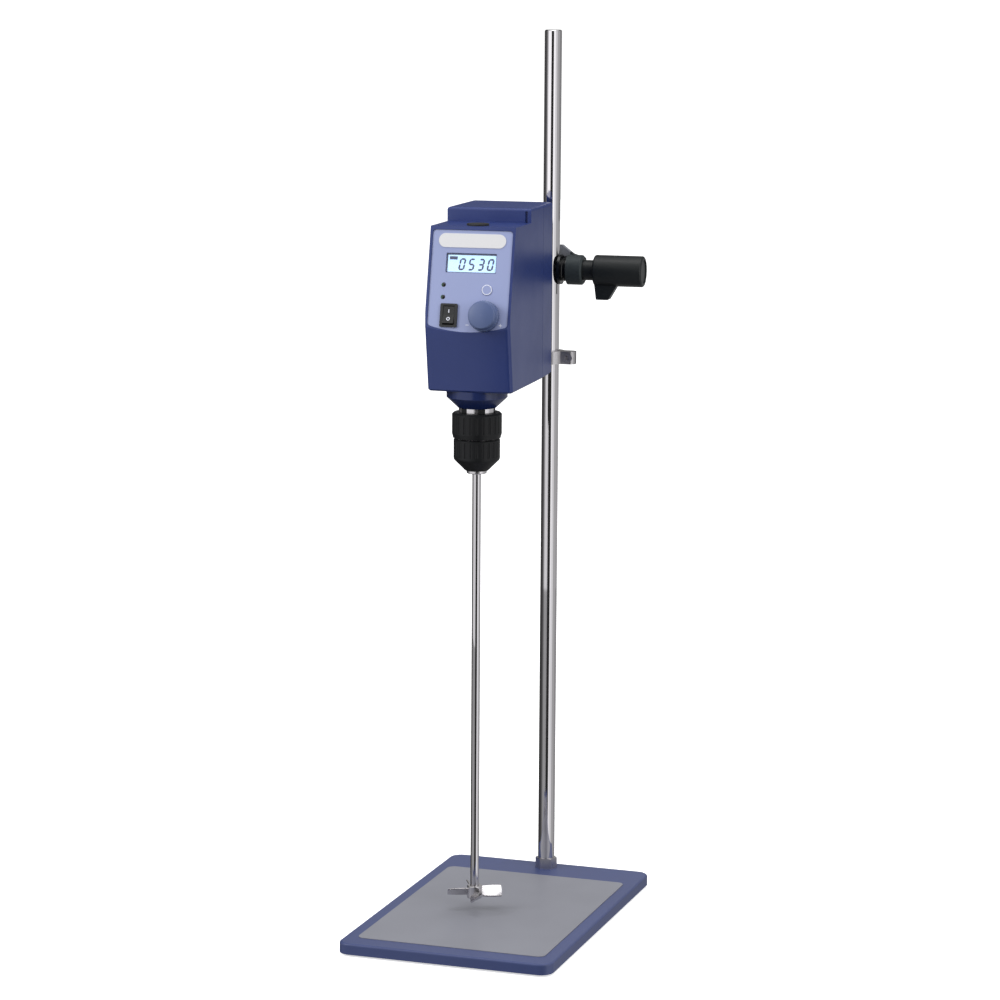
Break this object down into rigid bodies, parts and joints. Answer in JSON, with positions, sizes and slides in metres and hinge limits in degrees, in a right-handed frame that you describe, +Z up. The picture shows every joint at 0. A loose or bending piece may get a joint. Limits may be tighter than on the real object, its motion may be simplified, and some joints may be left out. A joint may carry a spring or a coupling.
{
  "type": "overhead stirrer",
  "caption": "Laboratory overhead stirrer: plate stand, rod, boss head, motor head with display, speed knob and rocker, keyless chuck and pitched-blade stirrer.",
  "frame": {"origin": "on the bench, under the middle of the base plate", "axes": "+Z up, -Y towards the user and the control panel, +X to the user's right"},
  "size_m": [0.2, 0.3205, 0.812],
  "materials": {
    "plate_paint": "fine satin powder coat",
    "mat": "fine matt grain",
    "black_rubber": "matt",
    "polished_steel": "ground and polished",
    "machined_steel": "turned",
    "cast_metal": "sand cast, painted grey",
    "black_plastic": "moulded, semi matt",
    "housing_blue": "fine moulded texture",
    "panel_lavender": "satin overlay",
    "knob_blue": "satin",
    "label_white": "satin",
    "display_clear": "clear",
    "display_glow": "lit liquid crystal",
    "led_green": "tinted, unlit",
    "board_green": "solder resist",
    "zinc": "zinc plated",
    "pin_metal": "plated"
  },
  "bodies": {
    "root": {"base_plate": "plate_paint", "non_slip_mat": "mat", "rubber_feet": "black_rubber", "support_rod": "polished_steel", "rod_hex_collar": "polished_steel", "rod_lock_nut": "machined_steel"},
    "stop_collar": {"stop_collar": "machined_steel"},
    "stop_collar_screw": {"stop_collar_screw": "machined_steel"},
    "boss_head": {"boss_head": "cast_metal"},
    "rod_clamp_pad": {"rod_clamp_pad": "black_plastic"},
    "rod_clamp": {"rod_clamp_screw": "black_plastic", "rod_clamp_knob": "black_plastic"},
    "arm_clamp_pad": {"arm_clamp_pad": "black_plastic"},
    "arm_clamp": {"arm_clamp_screw": "black_plastic", "arm_clamp_knob": "black_plastic"},
    "head": {"support_arm": "machined_steel", "arm_flange": "machined_steel", "front_shell": "housing_blue", "rear_shell": "housing_blue", "case_screws": "zinc", "control_panel": "panel_lavender", "label_plate": "label_white", "display_lens": "display_clear", "display_module": "display_glow", "indicator_leds": "led_green", "button_contact": "black_plastic", "speed_encoder": "black_plastic", "switch_frame": "black_plastic", "circuit_board": "board_green", "drive_frame": "cast_metal", "lower_bearing": "machined_steel", "upper_bearing": "machined_steel", "neck_collar": "housing_blue", "drive_belt": "black_rubber", "drive_motor": "machined_steel", "power_inlet": "black_plastic", "inlet_pins": "pin_metal", "inlet_screws": "zinc"},
    "menu_button": {"menu_button": "panel_lavender"},
    "speed_knob": {"speed_knob": "knob_blue", "encoder_shaft": "pin_metal"},
    "power_rocker": {"power_rocker": "black_plastic"},
    "passage_plug": {"passage_plug": "black_rubber"},
    "spindle": {"spindle": "machined_steel", "spindle_lock_ring": "machined_steel", "spindle_pulley": "cast_metal", "chuck_core": "machined_steel", "chuck_upper_sleeve": "black_plastic"},
    "motor_rotor": {"motor_shaft": "machined_steel", "motor_pulley": "cast_metal"},
    "chuck_sleeve": {"chuck_lower_sleeve": "black_plastic", "jaw_drive_ring": "machined_steel"},
    "stirrer": {"stirrer_shaft": "polished_steel", "propeller": "polished_steel", "hub_screw": "polished_steel"},
    "chuck_jaw_1": {"chuck_jaw_1": "machined_steel"},
    "chuck_jaw_2": {"chuck_jaw_2": "machined_steel"},
    "chuck_jaw_3": {"chuck_jaw_3": "machined_steel"}
  },
  "joints": [
    {"name": "collar_height", "type": "slide", "parent": "root", "child": "stop_collar", "axis": [0, 0, 1], "range_m": [-0.44, 0.02]},
    {"name": "collar_screw_turn", "type": "hinge", "parent": "stop_collar", "child": "stop_collar_screw", "pos_m": [0.0183, 0.136, 0.5075], "axis": [0, -1, 0], "range_deg": [0, 360]},
    {"name": "head_height", "type": "slide", "parent": "root", "child": "boss_head", "axis": [0, 0, 1], "range_m": [-0.004, 0.14]},
    {"name": "rod_pad_slide", "type": "slide", "parent": "boss_head", "child": "rod_clamp_pad", "axis": [0.9976, 0.0698, 0], "range_m": [0, 0.0015]},
    {"name": "rod_knob_turn", "type": "hinge", "parent": "rod_clamp_pad", "child": "rod_clamp", "pos_m": [0.03142, 0.1442, 0.59], "axis": [0.9976, 0.0698, 0], "range_deg": [0, 360]},
    {"name": "arm_pad_slide", "type": "slide", "parent": "boss_head", "child": "arm_clamp_pad", "axis": [-0.9976, -0.0698, 0], "range_m": [0, 0.0015]},
    {"name": "arm_knob_turn", "type": "hinge", "parent": "arm_clamp_pad", "child": "arm_clamp", "pos_m": [-0.05357, 0.13825, 0.59], "axis": [-0.9976, -0.0698, 0], "range_deg": [0, 360]},
    {"name": "arm_reach", "type": "slide", "parent": "boss_head", "child": "head", "axis": [-0.0698, 0.9976, 0], "range_m": [-0.01, 0.015]},
    {"name": "menu_button_press", "type": "slide", "parent": "head", "child": "menu_button", "axis": [-0.0679, 0.9706, -0.2308], "range_m": [0, 0.0008], "stiffness_N_per_m": 400},
    {"name": "speed_knob_turn", "type": "hinge", "parent": "head", "child": "speed_knob", "pos_m": [0.00122, -0.05321, 0.56495], "axis": [0.0679, -0.9706, 0.2308], "range_deg": [-230, 70]},
    {"name": "rocker_tilt", "type": "hinge", "parent": "head", "child": "power_rocker", "pos_m": [-0.032, -0.05412, 0.56483], "axis": [0.9976, 0.0698, 0], "range_deg": [0, 16]},
    {"name": "plug_lift", "type": "slide", "parent": "head", "child": "passage_plug", "axis": [0, 0, 1], "range_m": [0, 0.03]},
    {"name": "spindle_spin", "type": "hinge", "parent": "head", "child": "spindle", "pos_m": [-0.01704, -0.01998, 0.6], "axis": [0, 0, 1], "continuous": true},
    {"name": "motor_spin", "type": "hinge", "parent": "head", "child": "motor_rotor", "pos_m": [-0.02081, 0.03388, 0.546], "axis": [0, 0, 1], "continuous": true},
    {"name": "sleeve_turn", "type": "hinge", "parent": "spindle", "child": "chuck_sleeve", "pos_m": [-0.01704, -0.01998, 0.4326], "axis": [0, 0, -1], "range_deg": [0, 720]},
    {"name": "stirrer_slide", "type": "slide", "parent": "spindle", "child": "stirrer", "axis": [0, 0, 1], "range_m": [-0.005, 0.12]},
    {"name": "jaw_1_slide", "type": "slide", "parent": "spindle", "child": "chuck_jaw_1", "axis": [0.2146, 0.1447, 0.9659], "range_m": [0, 0.004]},
    {"name": "jaw_2_slide", "type": "slide", "parent": "spindle", "child": "chuck_jaw_2", "axis": [-0.2326, 0.1135, 0.9659], "range_m": [0, 0.004]},
    {"name": "jaw_3_slide", "type": "slide", "parent": "spindle", "child": "chuck_jaw_3", "axis": [0.0181, -0.2582, 0.9659], "range_m": [0, 0.004]}
  ],
  "couplings": [
    {"joint": "rod_pad_slide", "follows": "rod_knob_turn", "m_per_rad": 0.00023871},
    {"joint": "arm_pad_slide", "follows": "arm_knob_turn", "m_per_rad": 0.00023871},
    {"joint": "motor_spin", "follows": "spindle_spin", "ratio": 1.8163},
    {"joint": "jaw_1_slide", "follows": "sleeve_turn", "m_per_rad": 0.00031828},
    {"joint": "jaw_2_slide", "follows": "sleeve_turn", "m_per_rad": 0.00031828},
    {"joint": "jaw_3_slide", "follows": "sleeve_turn", "m_per_rad": 0.00031828}
  ]
}
